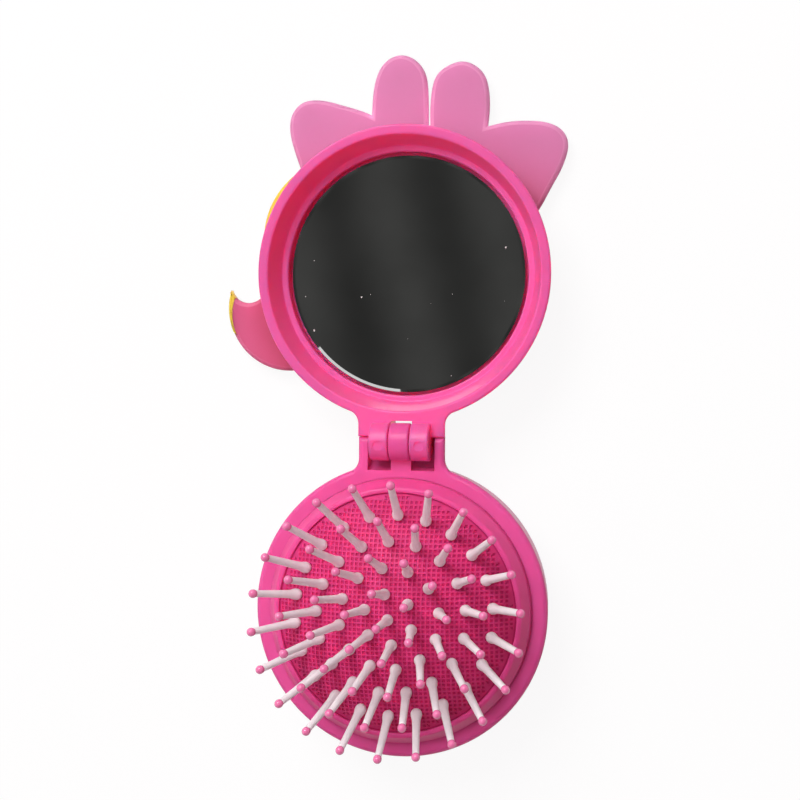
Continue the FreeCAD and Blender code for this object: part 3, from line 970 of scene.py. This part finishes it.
@dataclass
class Studio:
    """Pale floor, white surround, soft lights, a dark card over the mirror, and the camera."""

    ambient: float = 0.18
    warm: str = "FFB6C4"         # colour of the light in the shade
    floor_size: float = 6.0
    floor_drop: float = 0.0003
    floor_glow: float = 0.92     # share of the floor's white that no shadow darkens
    floor_bounce: str = "CECECE"  # colour of the light that it throws back
    card_centre: Triple = (0.0, 0.0, 1.3)
    card_size: float = 5.0
    card_tone: str = "FFFEFA"
    card_level: float = 0.078
    card_band: float = 0.1       # width of a light and a dark band
    card_band_range: tuple[float, float] = (0.75, 1.4)   # shares of the level
    card_cloud: float = 100.0    # millimetres
    card_cloud_range: tuple[float, float] = (0.85, 1.15)
    card_lean_deg: float = -13.0
    card_wave: Triple = (1.0, 1.0, 0.3)   # distortion, detail and detail scale of the bands
    card_phase: float = 3.02
    lens: float = 81.0           # millimetres
    camera_at: Triple = (0.07014, 0.05783, 0.40917)
    camera_look: Triple = (-0.17644, -0.02763, -0.98392)
    camera_up: Triple = (-0.01215, 0.99959, -0.02589)
    lights: tuple[Softbox, ...] = (
        Softbox("key_softbox", 115.0, 50.0, 1.4, 0.7, 0.84),
        Softbox("top_softbox", 90.0, 88.0, 1.3, 0.9, 0.19, mirrored=False),
        Softbox("left_fill", 185.0, 35.0, 1.4, 0.7, 0.08),
        Softbox("edge_strip", 211.5, 68.7, 1.05, 0.24, 0.024),
    )

    def seen(self, tree: Tree) -> Socket:
        """Picks the rays that show the surround: straight to the camera, in gloss and through glass.

        Args:
            tree: node tree to add to.
        Returns:
            A socket that is 1 for them and 0 for the rays that only carry light.
        """
        path = add_node(tree, "ShaderNodeLightPath").outputs
        shown = path["Is Camera Ray"]
        for kind in ("Is Glossy Ray", "Is Transmission Ray"):
            either = add_node(tree, "ShaderNodeMath", {0: shown, 1: path[kind]}, operation="MAXIMUM")
            shown = either.outputs[0]
        return shown

    def surround(self) -> None:
        """White surround that lights the brush less than it shows."""
        world = bpy.data.worlds.new("white_surround")
        world.use_nodes = True
        tree = world.node_tree
        tree.nodes.clear()
        seen = self.seen(tree)
        strength = add_node(tree, "ShaderNodeMapRange", {
            "Value": seen, "To Min": self.ambient, "To Max": 1.0})
        white = add_node(tree, "ShaderNodeBackground", {
            "Color": mixed(tree, seen, self.warm, "FFFFFF"), "Strength": strength.outputs[0]})
        add_node(tree, "ShaderNodeOutputWorld", {0: white.outputs[0]})
        bpy.context.scene.world = world

    def flat_board(self, name: str, size: float, centre: Triple, material: Material) -> Object:
        """A level square board of the set.

        Args:
            name: name of the board.
            size: length of a side, in metres.
            centre: its middle, in metres.
            material: its finish.
        Returns:
            The new object.
        """
        mesh = bmesh.new()
        bmesh.ops.create_grid(mesh, x_segments=1, y_segments=1, size=size / MM / 2)
        bmesh.ops.translate(mesh, verts=mesh.verts, vec=Vector(centre) / MM)
        board = finished(name, mesh, [material])
        return board

    def floor(self) -> None:
        """Pale floor that shows white and keeps a soft shadow."""
        material = blank("pale_floor")
        tree = material.node_tree
        bounce = add_node(tree, "ShaderNodeBsdfDiffuse", {"Color": linear(self.floor_bounce)})
        shade = 1 - self.floor_glow
        shaded = add_node(tree, "ShaderNodeBsdfDiffuse", {"Color": (shade, shade, shade, 1.0)})
        glow = add_node(tree, "ShaderNodeEmission", {"Color": linear("FFFFFF"), "Strength": self.floor_glow})
        shown = add_node(tree, "ShaderNodeAddShader", {0: shaded.outputs[0], 1: glow.outputs[0]})
        surface = add_node(tree, "ShaderNodeMixShader", {
            0: self.seen(tree), 1: bounce.outputs[0], 2: shown.outputs[0]})
        add_node(tree, "ShaderNodeOutputMaterial", {0: surface.outputs[0]})
        self.flat_board("floor", self.floor_size, (0, 0, -self.floor_drop), material)

    def dark_card(self) -> None:
        """Dark card with soft bands, which only reflections show."""
        material = blank("dark_card")
        tree = material.node_tree
        leaning = add_node(tree, "ShaderNodeMapping", {
            "Vector": object_place(tree), "Rotation": (0.0, 0.0, math.radians(self.card_lean_deg))})
        distortion, detail, detail_scale = self.card_wave
        bands = add_node(tree, "ShaderNodeTexWave", {
            "Vector": leaning.outputs[0], "Scale": FULL_TURN / WAVE_PHASE / self.card_band,
            "Distortion": distortion, "Detail": detail, "Detail Scale": detail_scale,
            "Phase Offset": self.card_phase})
        cloud = uneven(tree, self.card_cloud, *self.card_cloud_range)
        dark, light = [share * self.card_level for share in self.card_band_range]
        band = add_node(tree, "ShaderNodeMapRange", {
            "Value": bands.outputs["Fac"], "To Min": dark, "To Max": light})
        level = add_node(tree, "ShaderNodeMath", {0: band.outputs[0], 1: cloud}, operation="MULTIPLY")
        glow = add_node(tree, "ShaderNodeEmission", {
            "Color": linear(self.card_tone), "Strength": level.outputs[0]})
        add_node(tree, "ShaderNodeOutputMaterial", {0: glow.outputs[0]})
        card = self.flat_board("dark_card", self.card_size, self.card_centre, material)
        for rays in ("camera", "diffuse", "shadow", "transmission"):
            setattr(card, f"visible_{rays}", False)

    def camera(self) -> None:
        """Camera at the photograph's viewing angle."""
        look, up = Vector(self.camera_look).normalized(), Vector(self.camera_up)
        right = look.cross(up).normalized()
        data = bpy.data.cameras.new("camera")
        data.lens = self.lens
        camera = bpy.data.objects.new("camera", data)
        turn = Matrix((right, right.cross(look), -look)).transposed()
        camera.matrix_world = Matrix.Translation(self.camera_at) @ turn.to_4x4()
        bpy.context.scene.collection.objects.link(camera)
        bpy.context.scene.camera = camera

    def build(self) -> None:
        """Sets up the studio round the brush."""
        bpy.context.scene.view_settings.view_transform = "Standard"
        target = sum(CAD_BOX, Vector()) / 2
        for light in self.lights:
            light.build(target)
        self.surround()
        self.floor()
        self.dark_card()
        self.camera()


def main() -> None:
    """Builds the brush and its studio."""
    logging.basicConfig(level=logging.INFO, format="%(message)s")
    palette = Palette()
    Case(palette).dress()
    cushion = Cushion(palette)
    cushion.build()
    Bristles(palette, cushion).build()
    plaque = Plaque(palette)
    plaque.build()
    Mirror(palette, plaque).build()
    Studio().build()


if __name__ == "__main__":
    main()
